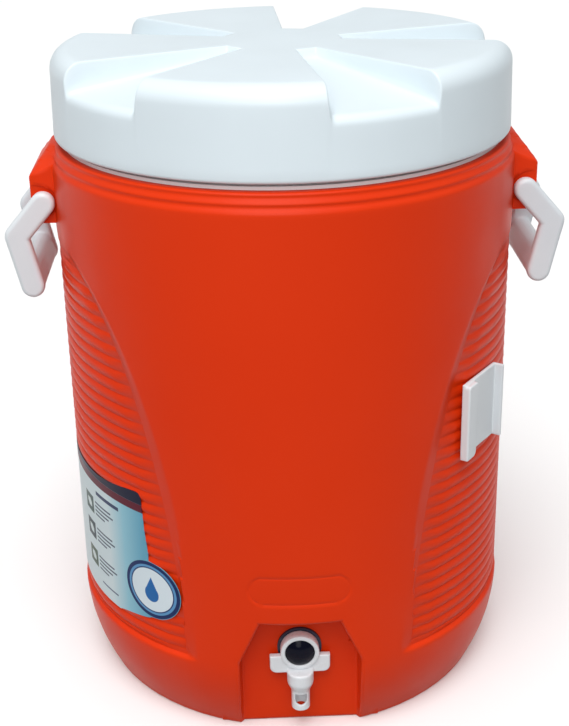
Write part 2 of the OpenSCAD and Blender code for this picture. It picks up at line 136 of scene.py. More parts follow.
def bridge(a, b, n, a_is_pole=False, b_is_pole=False):
    """Faces between two rings of n points that start at a and b; a pole is one point."""
    faces = []
    for j in range(n):
        k = (j + 1) % n
        if a_is_pole:
            faces.append((a, b + k, b + j))
        elif b_is_pole:
            faces.append((a + j, a + k, b))
        else:
            faces.append((a + j, a + k, b + k, b + j))
    return faces


def revolve_closed(rows, name, smooth_angle=35.0):
    """A closed skin from rings of points that start and end at a pole; rows is a list of (n, 3) rings
    or single points (3,)."""
    verts, starts = [], []
    for r in rows:
        r = np.atleast_2d(r)
        starts.append((len(verts), len(r)))
        verts.extend(r.tolist())
    faces = []
    for (a, na), (b, nb) in zip(starts, starts[1:]):
        faces += bridge(a, b, max(na, nb), na == 1, nb == 1)
    return new_object(name, verts, faces, smooth_angle)


MITRE_LIMIT = 0.35        # keeps the inset of a sharp corner from running away


def prism(outline, h0, h1, bevel=0.0, steps=3):
    """Points and faces of a prism with rounded rims: outline (n, 2) counter-clockwise, along the third
    axis."""
    outline = np.asarray(outline, float)
    n = len(outline)

    def inset(d):
        if d <= 0:
            return outline
        prev, nxt = np.roll(outline, 1, 0), np.roll(outline, -1, 0)
        e0 = outline - prev
        e1 = nxt - outline
        e0 /= np.linalg.norm(e0, axis=1)[:, None]
        e1 /= np.linalg.norm(e1, axis=1)[:, None]
        n0 = np.stack([-e0[:, 1], e0[:, 0]], 1)
        n1 = np.stack([-e1[:, 1], e1[:, 0]], 1)
        m = n0 + n1
        m /= np.maximum(MITRE_LIMIT, (m * n0).sum(1))[:, None]
        return outline + m * d

    turns = [0.5 * math.pi * k / steps for k in range(steps + 1)]
    rims = [(bevel * (1 - math.sin(a)), bevel * (1 - math.cos(a))) for a in turns]
    levels = [(d, h0 + h) for d, h in rims] + [(d, h1 - h) for d, h in rims[::-1]]
    if bevel <= 0:
        levels = [(0, h0), (0, h1)]
    verts = [np.column_stack([inset(d), np.full(n, h)]) for d, h in levels]
    faces = [list(range(n))[::-1]]
    for i in range(len(levels) - 1):
        faces += bridge(i * n, (i + 1) * n, n)
    faces.append([(len(levels) - 1) * n + j for j in range(n)])
    return np.vstack(verts), faces


ON_AXIS = 1e-6            # a radius below this is a pole


def lathe(profile, sides=64):
    """Points and faces of a closed solid of revolution about the third axis; profile is (r, h) from the
    bottom pole or rim to the top, counter-clockwise when seen with r to the right."""
    profile = np.asarray(profile, float)
    ang = np.linspace(0, 2 * math.pi, sides, endpoint=False)
    verts, starts = [], []
    on_axis = [r < ON_AXIS for r, h in profile]
    for (r, h), pole in zip(profile, on_axis):
        starts.append(len(verts))
        if pole:
            verts.append((0, 0, h))
        else:
            verts.extend(zip(r * np.cos(ang), r * np.sin(ang), [h] * sides))
    faces = []
    pairs = list(zip(range(len(profile) - 1), range(1, len(profile))))
    if not on_axis[0]:
        pairs.append((len(profile) - 1, 0))
    for i, j in pairs:
        if not (on_axis[i] and on_axis[j]):
            faces += bridge(starts[i], starts[j], sides, on_axis[i], on_axis[j])
    return np.array(verts), faces


def rod(r, h0, h1, sides):
    """A plain cylinder about the third axis."""
    return lathe([(0, h0), (r, h0), (r, h1), (0, h1)], sides)


def turned(points, axis):
    """Points of a solid made along +Z, laid along another axis: 'y-' points the solid's Z at -Y, and keeps
    its X; 'y' extrudes an outline drawn in XZ along +Y."""
    p = np.asarray(points, float)
    side = -1 if axis == "y-" else 1
    return np.column_stack([p[:, 0], side * p[:, 2], p[:, 1]])


def mesh_object(name, parts, smooth_angle=35.0):
    """One object from several (verts, faces) parts."""
    verts, faces, base = [], [], 0
    for v, f in parts:
        verts.append(v)
        faces += [[i + base for i in q] for q in f]
        base += len(v)
    return new_object(name, np.vstack(verts), faces, smooth_angle)


def outward(ob, weld=None):
    """Turns every face of a closed mesh outward, after joining points closer than weld (metres)."""
    bm = bmesh.new()
    bm.from_mesh(ob.data)
    if weld:
        bmesh.ops.remove_doubles(bm, verts=bm.verts, dist=weld)
    bmesh.ops.recalc_face_normals(bm, faces=bm.faces)
    bm.to_mesh(ob.data)
    bm.free()


def apply_modifiers(ob):
    bpy.context.view_layer.update()
    graph = bpy.context.evaluated_depsgraph_get()
    mesh = bpy.data.meshes.new_from_object(ob.evaluated_get(graph), depsgraph=graph)
    old = ob.data
    ob.modifiers.clear()
    ob.data = mesh
    bpy.data.meshes.remove(old)
    mesh.name = ob.name


def boolean(ob, cutters, operation="DIFFERENCE"):
    """Cuts or joins ob with each closed object in cutters, and removes those."""
    for c in cutters:
        outward(c)
        m = ob.modifiers.new("boolean", "BOOLEAN")
        m.operation, m.object, m.solver = operation, c, "MANIFOLD"
    apply_modifiers(ob)
    for c in cutters:
        mesh = c.data
        bpy.data.objects.remove(c)
        bpy.data.meshes.remove(mesh)


def read_points(mesh):
    co = np.empty(len(mesh.vertices) * 3, np.float32)
    mesh.vertices.foreach_get("co", co)
    return co.reshape(-1, 3).astype(float)


def write_points(mesh, points):
    mesh.vertices.foreach_set("co", points.astype(np.float32).ravel())


SMOOTH_IN, SMOOTH_OUT = 0.5, -0.52      # each round pulls the points in, then back out as far


def remesh(ob, voxel, rounds):
    """One even skin over ob's joined solids, then smoothed so that its corners are moulded ones."""
    m = ob.modifiers.new("remesh", "REMESH")
    m.mode, m.voxel_size, m.adaptivity = "VOXEL", voxel * MM, 0.0
    apply_modifiers(ob)
    mesh = ob.data
    n = len(mesh.vertices)
    co = read_points(mesh)
    edges = np.empty(len(mesh.edges) * 2, np.int32)
    mesh.edges.foreach_get("vertices", edges)
    a, b = edges.reshape(-1, 2).T
    count = np.bincount(edges, minlength=n)[:, None]
    for _ in range(rounds):
        for weight in (SMOOTH_IN, SMOOTH_OUT):
            total = np.column_stack([np.bincount(a, co[b, c], n) + np.bincount(b, co[a, c], n)
                                     for c in range(3)])
            co += weight * (total / count - co)
    write_points(mesh, co)
    finish_shading(ob, 60.0)

# ---- outer shell

SHELL_WALL = 4.5
RIB_START, RIB_PITCH, RIB_COUNT = 59.0, 8.4, 33
PANEL_EDGE, PANEL_EDGE_H = 63.9, 280.0     # outer border of a ribbed panel: half angle and height
PANEL_IN, PANEL_IN_H = 60.0, 272.5         # inner border, where the ribs start
PANEL_Z = 60.0
GROOVE_DEPTH, CREST_DEPTH = 3.6, 1.5
RECESS_TOP, RECESS_KNEE = 94.5, 61.0
RECESS_TOP_HALF, RECESS_HALF = 27.5, 42.0
LIP_R, CORNER_R, DRAFT = 3.0, 2.0, 0.8
SHOULDER_PROFILE = np.array([              # height and radius of the two beads under the lid
    (383, 161), (384.6, 160.85), (386, 160.2), (387.3, 159.2), (388.8, 158.8), (389.8, 159.2),
    (390.7, 159.15), (391.8, 158.4), (393, 157.6), (394.3, 157.2), (395.2, 157.5), (396.2, 157.2),
    (396.8, 156.4), (397, 155.4)])
SHOULDER_FROM = SHOULDER_PROFILE[0, 0]
RIB_ROUND = 0.62                           # power that makes the ribs full and the grooves narrow
RIB_RISE, BORDER_ROUND = 5.5, 0.35         # length of a rib's run-out; rounding of the border's edge


def wall_r(z):
    """Radius of the plain wall, with the foot's curve and the shoulder's beads."""
    z = np.asarray(z, float)
    low = np.clip(FOOT_CURVE_Z - z, 0, None)
    r = BODY_R - (FOOT_CURVE_R - np.sqrt(FOOT_CURVE_R ** 2 - low ** 2))
    return np.where(z > SHOULDER_FROM, np.interp(z, SHOULDER_PROFILE[:, 0], SHOULDER_PROFILE[:, 1]), r)


def arch(z, half, height, p, q):
    """Half angle of a panel's border at a height; 0 above its top."""
    t = np.clip((np.asarray(z, float) - PANEL_Z) / height, 0, 1)
    return half * (1 - t ** p) ** q


def arch_z(beta, half, height, p, q):
    """Height of a panel's border at a half angle."""
    u = np.clip(np.abs(beta) / half, 0, 1)
    return PANEL_Z + height * (1 - u ** (1 / q)) ** (1 / p)


OUTER_ARCH = (PANEL_EDGE, PANEL_EDGE_H, 1.74, 0.29)
INNER_ARCH = (PANEL_IN, PANEL_IN_H, 1.56, 0.27)


def border_distance(beta, z, shape):
    """Rough distance in millimetres from a panel's border, positive inside."""
    across = (arch(z, *shape) - np.abs(beta)) * math.radians(1) * BODY_R
    up = arch_z(beta, *shape) - z
    outside = (z > PANEL_Z + shape[1]) | (np.abs(beta) >= shape[0])
    both = np.abs(across * up) / np.maximum(np.hypot(across, up), 1e-6)
    inside = (across > 0) & (up > 0)
    d = np.where(inside, both, -both)
    return np.where(outside, -np.hypot(np.minimum(across, 0), np.minimum(up, 0)), d)


def rib_shape(z):
    """0 in a groove, 1 on a rib's crest: round ribs with narrow grooves."""
    u = (z - RIB_START) / RIB_PITCH
    return np.abs(np.cos(math.pi * u)) ** RIB_ROUND


def panel_depth(beta, z):
    """How far the ribbed panel lies below the plain wall."""
    d_out = border_distance(beta, z, OUTER_ARCH)
    d_in = border_distance(beta, z, INNER_ARCH)
    band = np.clip(d_out / np.maximum(d_out - d_in, 1e-6), 0, 1)
    ramp = (GROOVE_DEPTH - 0.2) * np.where(d_in >= 0, 1.0, band)
    ramp = np.where(d_out <= 0, 0.0, ramp)
    # round the border's outer edge a little
    ramp = np.sqrt(ramp ** 2 + BORDER_ROUND ** 2) - BORDER_ROUND
    rise = smooth(d_in / RIB_RISE) * smooth((z - RIB_START - 0.5) / 3.0)
    rib = (GROOVE_DEPTH - CREST_DEPTH) * rib_shape(z) * rise
    return (ramp - rib) * smooth((z - RIB_START + 2.5) / 3.2)


LUG_HALF, LUG_FOOT_Z, LUG_BEVEL = 34.0, 345.0, 5.0    # half width, underside, and the bevel above it
ROOF_Z, ROOF_SLOPE = 378.5, 1.36                      # start of the sloping top, and its rise per run
HIP_R, HIP_Z, HIP_OUT, HIP_ASIDE = 157.6, 385.0, 0.414, 0.627   # a point on the corner's bevel; its falls
RIM_R, RIM_Z, RIM_SLOPE = 161.0, 395.2, 6.0           # the lug ends against the upper bead
NO_LUG_R = 140.0
SOCKET_R, SOCKET_FROM, SOCKET_TO = 9.65, 33.9, 45.0   # pockets that the handles' arm ends turn in


def lug_r(delta, z):
    """Radius of the handle's lug in a direction measured from the lug's middle."""
    c = np.cos(np.radians(delta))
    s = np.maximum(np.abs(np.sin(np.radians(delta))), 1e-3)
    side = LUG_HALF / s
    roof = (LUG_X - (z - ROOF_Z) / ROOF_SLOPE) / c
    hip = (HIP_Z + HIP_OUT * HIP_R + HIP_ASIDE * LUG_HALF - z) / (HIP_OUT * c + HIP_ASIDE * s)
    bevel = (LUG_X - LUG_BEVEL + (z - LUG_FOOT_Z)) / c
    top = (RIM_R - RIM_SLOPE * (z - RIM_Z)) / c
    r = LUG_X / c
    for limit, soft in ((side, 2.6), (roof, 2.4), (hip, 2.6), (bevel, 2.6), (top, 1.0)):
        r = soft_min(r, limit, soft)
    return np.where(z < LUG_FOOT_Z, NO_LUG_R, r)


def shell_r(phi, z):
    """Radius of the shell in a direction phi (degrees from the front towards +X) at a height."""
    phi, z = np.broadcast_arrays(np.asarray(phi, float), np.asarray(z, float))
    plain = wall_r(z)
    beta = np.abs(np.abs(phi) - 90.0)
    r = plain - panel_depth(beta, z)
    delta = np.abs(phi) - 90.0
    lug = lug_r(delta, z)
    fillet = 4.0 + 5.0 * smooth((z - 366) / 6.0)      # the lug runs into the wall more softly near its top
    r = np.where(lug > NO_LUG_R + 1, soft_max(r, lug, fillet), r)
    c = np.cos(np.radians(delta))
    y = np.abs(r * np.sin(np.radians(delta)))
    reach = SOCKET_R ** 2 - (z - PIVOT[1]) ** 2
    socket = (PIVOT[0] - np.sqrt(np.clip(reach, 0, None))) / c
    inside = (reach > 0) & (y > SOCKET_FROM) & (y < SOCKET_TO)
    return np.where(inside, np.minimum(r, socket), r)


def recess_half(z):
    return np.interp(z, [0, RECESS_KNEE, RECESS_TOP], [RECESS_HALF, RECESS_HALF, RECESS_TOP_HALF])


def step_profile(q, depth, lip_r=LIP_R, foot_r=CORNER_R, draft=DRAFT):
    """Depth of a recess at a distance q inside its outline: a rounded lip, a wall and a rounded corner."""
    lip = np.minimum(lip_r, 0.5 * depth)
    foot = np.minimum(foot_r, 0.35 * depth)
    on_lip = lip - np.sqrt(np.clip(lip ** 2 - np.clip(q + lip, 0, lip) ** 2, 0, None))
    on_wall = lip + (depth - foot - lip) * np.clip(q / draft, 0, 1)
    on_foot = depth - (foot - np.sqrt(np.clip(foot ** 2 - np.clip(draft + foot - q, 0, foot) ** 2, 0, None)))
    return np.where(q <= -lip, 0.0, np.where(q <= 0, on_lip, np.where(q <= draft, on_wall, on_foot)))


PLAQUE_HALF_W, PLAQUE_HALF_H, PLAQUE_Z = 34.5, 10.5, 121.5


def plaque_depth(x, z):
    """A blank plaque with round ends: a shallow field inside a fine groove."""
    dx = np.maximum(np.abs(x) - (PLAQUE_HALF_W - PLAQUE_HALF_H), 0)
    d = np.hypot(dx, z - PLAQUE_Z) - PLAQUE_HALF_H
    groove = 0.7 * np.exp(-((d + 0.2) / 0.75) ** 2)
    field = 0.3 * smooth((-d - 0.4) / 1.2)
    return groove + field


# distances of the shell's columns and rows: across a recess wall, across a rib, and round a panel
WALL_Q = [-2.9, -2.5, -2.1, -1.75, -1.4, -1.1, -0.8, -0.55, -0.3, -0.1,
          0.15, 0.5, 1.0, 1.5, 2.0, 2.5, 3.0, 3.5]
FRONT_SPAN = 14.0
FLOOR_COLS, GAP_COLS, BACK_COLS = 20, 11, 11
RIB_ROWS = (0, 0.19, 0.37, 0.46, 0.54, 0.63, 0.81)   # heights of the rows in one rib pitch
PANEL_DEG = 24.0
PANEL_COLS = [0, 2, 4, 6, 8, 9.6, 10.5, 10.9, 11.2, 11.45, 11.7, 11.95, 12.2, 12.5, 12.9, 13.4, 14.1,
              15, 16.5, 18, 20, 22]
BAND_COLS = [0, 0.12, 0.27, 0.43, 0.6, 0.77, 0.9, 1.0]


def half_columns(z):
    """Directions (degrees) and, for the front, distances x of the shell's columns at one height, from the
    front round to the back on the +X side."""
    half = recess_half(z)
    floor = np.linspace(0, half + WALL_Q[0], FLOOR_COLS + 1)
    x = np.concatenate([floor[:-1], half + np.array(WALL_Q), half + np.linspace(4.4, FRONT_SPAN, 11)])
    r = float(wall_r(z))
    phi_end = math.degrees(math.asin(x[-1] / r))
    b_in = max(float(arch(z, *INNER_ARCH)), PANEL_DEG)
    b_out = max(float(arch(z, *OUTER_ARCH)), PANEL_DEG + 3.0)
    start = 90 - b_out
    gap = phi_end + (start - 1.6 - phi_end) * np.linspace(0, 1, GAP_COLS + 1)[1:]
    lead = [start - 0.9, start - 0.35]
    band = [90 - (b_out + (b_in - b_out) * t) for t in BAND_COLS]
    inner = [90 - b_in * d / PANEL_DEG for d in PANEL_COLS[::-1]]
    front = list(gap) + lead + band + inner
    back = [180 - a for a in front[::-1][1:]]
    back = back[:-GAP_COLS + 1]
    tail = list(np.linspace(back[-1], 180, BACK_COLS + 1)[1:])
    return x, np.array(front + back + tail)


def shell_rows():
    """Heights of the shell's rings: close together where the surface bends."""
    rows = list(np.arange(2.5, 58.0, 3.0))
    for k in range(RIB_COUNT):
        z0 = RIB_START + k * RIB_PITCH
        rows += [z0 + RIB_PITCH * u for u in RIB_ROWS]
    rows += [57.2, 58.2] + [RECESS_TOP - q for q in WALL_Q]
    top = RIB_START + RIB_COUNT * RIB_PITCH
    rows += list(np.arange(top, 344.5, 1.0)) + [344.6, 344.98, 345.02, 346, 347, 348, 349, 350, 351.5]
    rows += list(np.arange(353, 377, 2.4)) + [377, 378, 378.5, 379, 380, 381.5]
    rows = sorted(rows + list(np.arange(383, 396.9, 0.62)) + [396.8, 397.0])
    kept = [rows[0]]
    for z in rows[1:]:
        steep = abs(z - RECESS_TOP) < 3.2 or abs(z - LUG_FOOT_Z) < 1
        if z - kept[-1] > (0.03 if steep else 0.3):
            kept.append(z)
    return kept


def shell_ring(z):
    """One closed ring of the outer surface at a height, starting at the front and going towards +X."""
    x, phi = half_columns(z)
    plain = float(wall_r(z))
    y_wall = np.sqrt(plain ** 2 - x ** 2)
    depth = y_wall - RECESS_Y
    side = step_profile(recess_half(z) - x, depth)
    over = step_profile(np.full_like(x, RECESS_TOP - z), depth)
    y = y_wall - np.minimum(side, over) - plaque_depth(x, z)
    r = shell_r(phi, z)
    right = np.column_stack([np.concatenate([x, r * np.sin(np.radians(phi))]),
                             np.concatenate([-y, -r * np.cos(np.radians(phi))])])
    left = right[1:-1][::-1] * [-1, 1]
    ring = np.vstack([right, left])
    return np.column_stack([ring, np.full(len(ring), z)])


def scaled_ring(ring, radius, z):
    """The ring's directions at another radius (one number or one for each point) and height."""
    rho = np.hypot(ring[:, 0], ring[:, 1])
    k = np.asarray(radius) / rho
    return np.column_stack([ring[:, 0] * k, ring[:, 1] * k, np.full(len(ring), float(z))])


INNER_ROWS = (7.5, 20, 40, 60, 80, 98.0, 102.0, 200, 330, 378, 393.0)
# radius and height of the rings round the neck's hole, and from the standing ring to the raised base
NECK_HOLE = ((152.0, 394.0), (149.8, 394.2), (149.5, 394.6), (149.5, 396.6), (149.9, 397.0), (152.5, 397.0))
BASE = ((129.6, 0.35), (128.7, 1.2), (128.2, 2.2), (127.2, 2.85), (126.0, 3.0), (90.0, 3.0), (40.0, 3.0))
FOOT_EDGE, STAND_R, BASE_Z = 2.5, 130.6, 3.0
SHANK_HOLE_R, PIN_HOLE_R, PLUG_HOLE_R, PLUG_X = 10.1, 5.06, 9.0, 60.0


def build_shell():
    outer = [shell_ring(z) for z in shell_rows()]      # from the foot up
    foot, top = outer[0], outer[-1]
    rho = np.hypot(foot[:, 0], foot[:, 1])
    # inner skin, from the inner base up to the neck's hole, with a flat behind the recess
    phi = np.degrees(np.arctan2(top[:, 0], -top[:, 1]))
    c = np.cos(np.radians(phi))
    rows = [np.array([[0, 0, INNER_ROWS[0]]])]
    rows += [scaled_ring(top, r, INNER_ROWS[0]) for r in (60.0, 110.0)]
    for z in INNER_ROWS:
        plain = wall_r(min(z, 380.0)) - SHELL_WALL
        flat = (RECESS_Y - SHELL_WALL) / np.maximum(c, 0.3)
        half = recess_half(z) + 5.0
        near = (np.abs(plain * np.sin(np.radians(phi))) < half) & (c > 0) & (z < 99)
        rows.append(scaled_ring(top, np.where(near, np.minimum(plain, flat), plain), z))
    rows += [scaled_ring(top, r, z) for r, z in NECK_HOLE]
    rows += outer[::-1]
    # round the foot's edge, then the ring it stands on and the raised base
    for a in (25, 50, 75, 90):
        s, c = math.sin(math.radians(a)), math.cos(math.radians(a))
        rows.append(scaled_ring(foot, rho - FOOT_EDGE * (1 - c), FOOT_EDGE * (1 - s)))
    last = rho - FOOT_EDGE
    rows += [scaled_ring(foot, last + (STAND_R - last) * t, 0.0) for t in (0.4, 0.8, 1.0)]
    rows += [scaled_ring(foot, r, z) for r, z in BASE]
    rows.append(np.array([[0, 0, BASE_Z]]))
    shell = revolve_closed(rows, "shell", 32.0)
    outward(shell)
    # hole for the spigot's shank, sockets for the handles' pins, and the foaming holes in the base
    v, f = rod(SHANK_HOLE_R, 118, 150, 48)
    cutters = [mesh_object("cut_shank", [(turned(v, "y-") + [0, 0, SPIGOT_Z], f)])]
    for sx in (-1, 1):
        for sy in (-1, 1):
            v, f = rod(PIN_HOLE_R, 27, 36, 32)
            p = turned(v, "y-") * [1, -sy, 1] + [sx * PIVOT[0], 0, PIVOT[1]]
            cutters.append(mesh_object("cut_pin", [(p, f)]))
        v, f = rod(PLUG_HOLE_R, -5, 20, 48)
        cutters.append(mesh_object("cut_plug", [(v + [sx * PLUG_X, 0, 0], f)]))
    boolean(shell, cutters)
    finish_shading(shell, 32.0)
    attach(shell, "jug")
    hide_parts("outer_shell")
    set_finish(shell, "orange_plastic")

# ---- lid

LID_EDGE, LID_DRAFT, LID_WALL, LID_TOP_WALL = 13.0, 1.0, 3.0, 3.0
PANEL_TOP_Z = 433.0
VALLEY_FIRST, VALLEY_COUNT = -50.0, 5
VALLEY_IN, VALLEY_IN_HALF, VALLEY_IN_DROP = 42.0, 7.0, 6.0
VALLEY_OUT_HALF, VALLEY_OUT_DROP = 38.0, 19.5
VALLEY_LIP, VALLEY_FOOT, VALLEY_DRAFT, FLOOR_EDGE = 1.3, 3.2, 1.4, 7.0
WALL_STEPS = [5.2, 4.5, 3.9, 3.3, 2.7, 2.1, 1.6, 1.1, 0.5, 0.0, -0.25, -0.5, -0.75, -1.0, -1.3, -2.2]
SECTOR_COLS, EDGE_STEPS = 9, 12
FLAT_SHARE = 0.4            # of the edge's steps, those on a valley's flat floor
THREAD_STARTS, THREAD_LEAD, THREAD_FROM, THREAD_TURN = 3, 30.0, 76.3, 90.0
THREAD_ROOT, THREAD_TIP, THREAD_Z = LID_R - LID_WALL + 1.0, 149.4, 399.5
LID_RADII = (15, 30, 36, 38.5, 39.6, 40.2, 40.7, 41.2, 41.8, 42.5, 43.3, 44.3, 46, 49, 55, 66, 80, 95, 110,
             122, 132, 138)


def valley_half(rho):
    """Half width of a valley at a distance from the axis."""
    return VALLEY_IN_HALF + (VALLEY_OUT_HALF - VALLEY_IN_HALF) * (rho - VALLEY_IN) / (LID_R - VALLEY_IN)


def lid_rings(grow):
    """Rings of the lid's top and side, from the axis out and down; grow > 0 gives the inner face of a wall
    that thick. Each row has a point on the sector's profile and one on the valley's."""
    edge = LID_EDGE
    top_z = LID_TOP - grow
    side = LID_R - LID_DRAFT - grow
    floor_slope = (VALLEY_OUT_DROP - VALLEY_IN_DROP) / (LID_R - VALLEY_IN)
    floor_z = lambda rho: LID_TOP - VALLEY_IN_DROP - floor_slope * (rho - VALLEY_IN) - grow
    rows = [((rho, top_z), (rho, floor_z(rho))) for rho in LID_RADII + (side - edge,)]
    start = side - FLOOR_EDGE
    for k in range(1, EDGE_STEPS + 1):
        t = k / EDGE_STEPS
        a = math.radians(90.0 * t)
        top = (side - edge + edge * math.sin(a), top_z - edge + edge * math.cos(a))
        if t < FLAT_SHARE:
            rho = side - edge + (start - side + edge) * t / FLAT_SHARE
            low = (rho, floor_z(rho))
        else:
            b = math.radians(90.0 * (t - FLAT_SHARE) / (1 - FLAT_SHARE))
            low = (start + FLOOR_EDGE * math.sin(b), floor_z(start) - FLOOR_EDGE + FLOOR_EDGE * math.cos(b))
        rows.append((top, low))
    end = LID_BOTTOM + 2.5 if grow == 0 else PANEL_TOP_Z + 0.4
    (r0, z0), (r1, z1) = rows[-1]
    for t in (0.15, 0.35, 0.6, 0.85, 1.0):
        grade = lambda r, z: (r + (LID_R - grow - r) * t if grow == 0 else r, z + (end - z) * t)
        rows.append((grade(r0, z0), grade(r1, z1)))
    return rows


def lid_ring(row, grow):
    """One closed ring of the lid, with its columns along the valleys' edges."""
    (rho_t, z_t), (rho_f, z_f) = row
    reach = max(rho_f, VALLEY_IN)
    w = valley_half(reach)
    across = np.concatenate([(w - WALL_STEPS[0]) * np.array([0, 0.3, 0.6, 0.85]), w - np.array(WALL_STEPS)])
    ang = np.degrees(np.arcsin(np.clip(across / reach, 0, 0.9)))
    pitch = 180.0 / VALLEY_COUNT
    rest = ang[-1] + (pitch - ang[-1]) * np.linspace(0, 1, SECTOR_COLS + 1)[1:]
    ang = np.concatenate([ang, rest])
    s = np.concatenate([w - across, np.full(SECTOR_COLS, -10.0)]) + grow
    depth = max(math.hypot(rho_t - rho_f, z_t - z_f), 0.01)
    by_side = step_profile(s, depth, VALLEY_LIP, VALLEY_FOOT, VALLEY_DRAFT) / depth
    q = rho_f - VALLEY_IN + grow
    by_end = float(step_profile(np.array([q]), depth, VALLEY_LIP, 2.0, 1.0)[0]) / depth
    f = np.minimum(by_side, by_end)
    rho = rho_t + (rho_f - rho_t) * f
    z = z_t + (z_f - z_t) * f
    sector_a = np.concatenate([-ang[:0:-1], ang[:-1]])
    fold = lambda v: np.concatenate([v[:0:-1], v[:-1]])
    rho, z = fold(rho), fold(z)
    out = []
    for k in range(VALLEY_COUNT):
        a = np.radians(VALLEY_FIRST + 2 * pitch * k + sector_a)
        out.append(np.column_stack([rho * np.sin(a), -rho * np.cos(a), z]))
    return np.vstack(out)


def build_lid():
    rows = [np.array([[0, 0, LID_TOP]])]
    outer = [lid_ring(r, 0.0) for r in lid_rings(0.0)]
    rows += outer
    rim = outer[-1]
    for a in (30, 60, 90):
        c, s = math.cos(math.radians(a)), math.sin(math.radians(a))
        rows.append(scaled_ring(rim, LID_R - 1.8 * (1 - c), LID_BOTTOM + 2.5 - 2.5 * s))
    rows.append(scaled_ring(rim, LID_R - LID_WALL + 0.4, LID_BOTTOM))
    rows.append(scaled_ring(rim, LID_R - LID_WALL, LID_BOTTOM + 0.4))
    for z in (410.0, 420.0, 430.0, PANEL_TOP_Z + 0.01):
        rows.append(scaled_ring(rim, LID_R - LID_WALL, z))
    inner = [lid_ring(r, LID_WALL) for r in lid_rings(LID_WALL)]
    last = inner[-1]
    rows.append(scaled_ring(rim, np.hypot(last[:, 0], last[:, 1]), PANEL_TOP_Z + 0.4))
    rows += inner[:-1][::-1]
    rows.append(np.array([[0, 0, LID_TOP - LID_TOP_WALL]]))
    lid = revolve_closed(rows, "lid", 40.0)
    outward(lid)
    boolean(lid, [thread_ridge(360.0 * k / THREAD_STARTS) for k in range(THREAD_STARTS)], "UNION")
    finish_shading(lid, 38.0)
    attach(lid, "lid")
    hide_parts("lid_cover")
    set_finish(lid, "white_plastic")


def thread_ridge(offset):
    """A tapered ridge that follows a screw line on the inside of the skirt."""
    n = int(THREAD_TURN / 2)
    root, tip = THREAD_ROOT, THREAD_TIP
    section = [(root, -2.6), (tip + 0.5, -1.2), (tip, -0.7), (tip, 0.7), (tip + 0.5, 1.2), (root, 2.6)]
    verts = []
    for i in range(n + 1):
        a = THREAD_FROM + THREAD_TURN * i / n
        fade = smooth(min(i, n - i) / 4.0 + 0.05)
        b = math.radians(a + offset)
        for r, h in section:
            rr = root + (r - root) * fade
            verts.append((rr * math.cos(b), rr * math.sin(b), THREAD_Z + THREAD_LEAD * a / 360 + h))
    m = len(section)
    faces = [list(range(m)), [n * m + j for j in range(m)][::-1]]
    for i in range(n):
        for j in range(m):
            k = (j + 1) % m
            faces.append((i * m + j, (i + 1) * m + j, (i + 1) * m + k, i * m + k))
    return mesh_object("ridge", [(np.array(verts), faces)])

# ---- handles

ELBOW, HEEL, GRIP_RISE = (184.6, 338.0), (176.6, 302.0), (2.6, 7.6)
ARM_W, ARM_T, ARM_IN, ARM_EDGE = 16.4, 9.1, 34.4, 2.8
GRIP_R = 7.6
PIN_R, PIN_LEN = 5.0, 6.5


def arc(c, r, a0, a1, n=12):
    a = np.radians(np.linspace(a0, a1, n + 1))
    return np.column_stack([c[0] + r * np.cos(a), c[1] + r * np.sin(a)])


def bar_outline(a, b, r):
    h = math.degrees(math.atan2(b[1] - a[1], b[0] - a[0]))
    return np.vstack([arc(a, r, h + 90, h + 270), arc(b, r, h - 90, h + 90)])


def arm_outline(a, b, c, r):
    h1 = math.degrees(math.atan2(b[1] - a[1], b[0] - a[0]))
    h2 = math.degrees(math.atan2(c[1] - b[1], c[0] - b[0]))
    mid = math.radians((h1 + h2) / 2 - 90)
    k = r / math.cos(math.radians((h1 - h2) / 2))
    return np.vstack([arc(c, r, h2 - 90, h2 + 90), arc(b, r, h2 + 90, h1 + 90, 8),
                      arc(a, r, h1 + 90, h1 + 270), [[b[0] + k * math.cos(mid), b[1] + k * math.sin(mid)]]])


def build_handle(name, node, side):
    outline = arm_outline(PIVOT, ELBOW, HEEL, ARM_W / 2)
    parts = []
    for s in (-1, 1):
        lo = ARM_IN if s > 0 else -ARM_IN - ARM_T
        v, f = prism(outline, lo, lo + ARM_T, ARM_EDGE, 3)
        parts.append((turned(v, "y"), f))
        v, f = lathe([(0, 0), (PIN_R - 0.6, 0), (PIN_R, 0.6), (PIN_R, PIN_LEN + 2), (0, PIN_LEN + 2)], 48)
        y = v[:, 2] + ARM_IN - PIN_LEN
        parts.append((np.column_stack([v[:, 0] + PIVOT[0], s * y, v[:, 1] + PIVOT[1]]), f))
    grip_end = (HEEL[0] + GRIP_RISE[0], HEEL[1] + GRIP_RISE[1])
    v, f = prism(bar_outline(HEEL, grip_end, GRIP_R), -ARM_IN - 2, ARM_IN + 2)
    parts.append((turned(v, "y"), f))
    pieces = []
    for v, f in parts:
        v = v * [side, 1, 1]
        pieces.append(mesh_object(name + "_part", [(v, f)]))
        outward(pieces[-1])
    handle = pieces[0]
    boolean(handle, pieces[1:], "UNION")
    handle.name = handle.data.name = name
    remesh(handle, 0.85, 4)
    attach(handle, name)
    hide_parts(node)
    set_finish(handle, "handle_plastic")

# ---- spigot

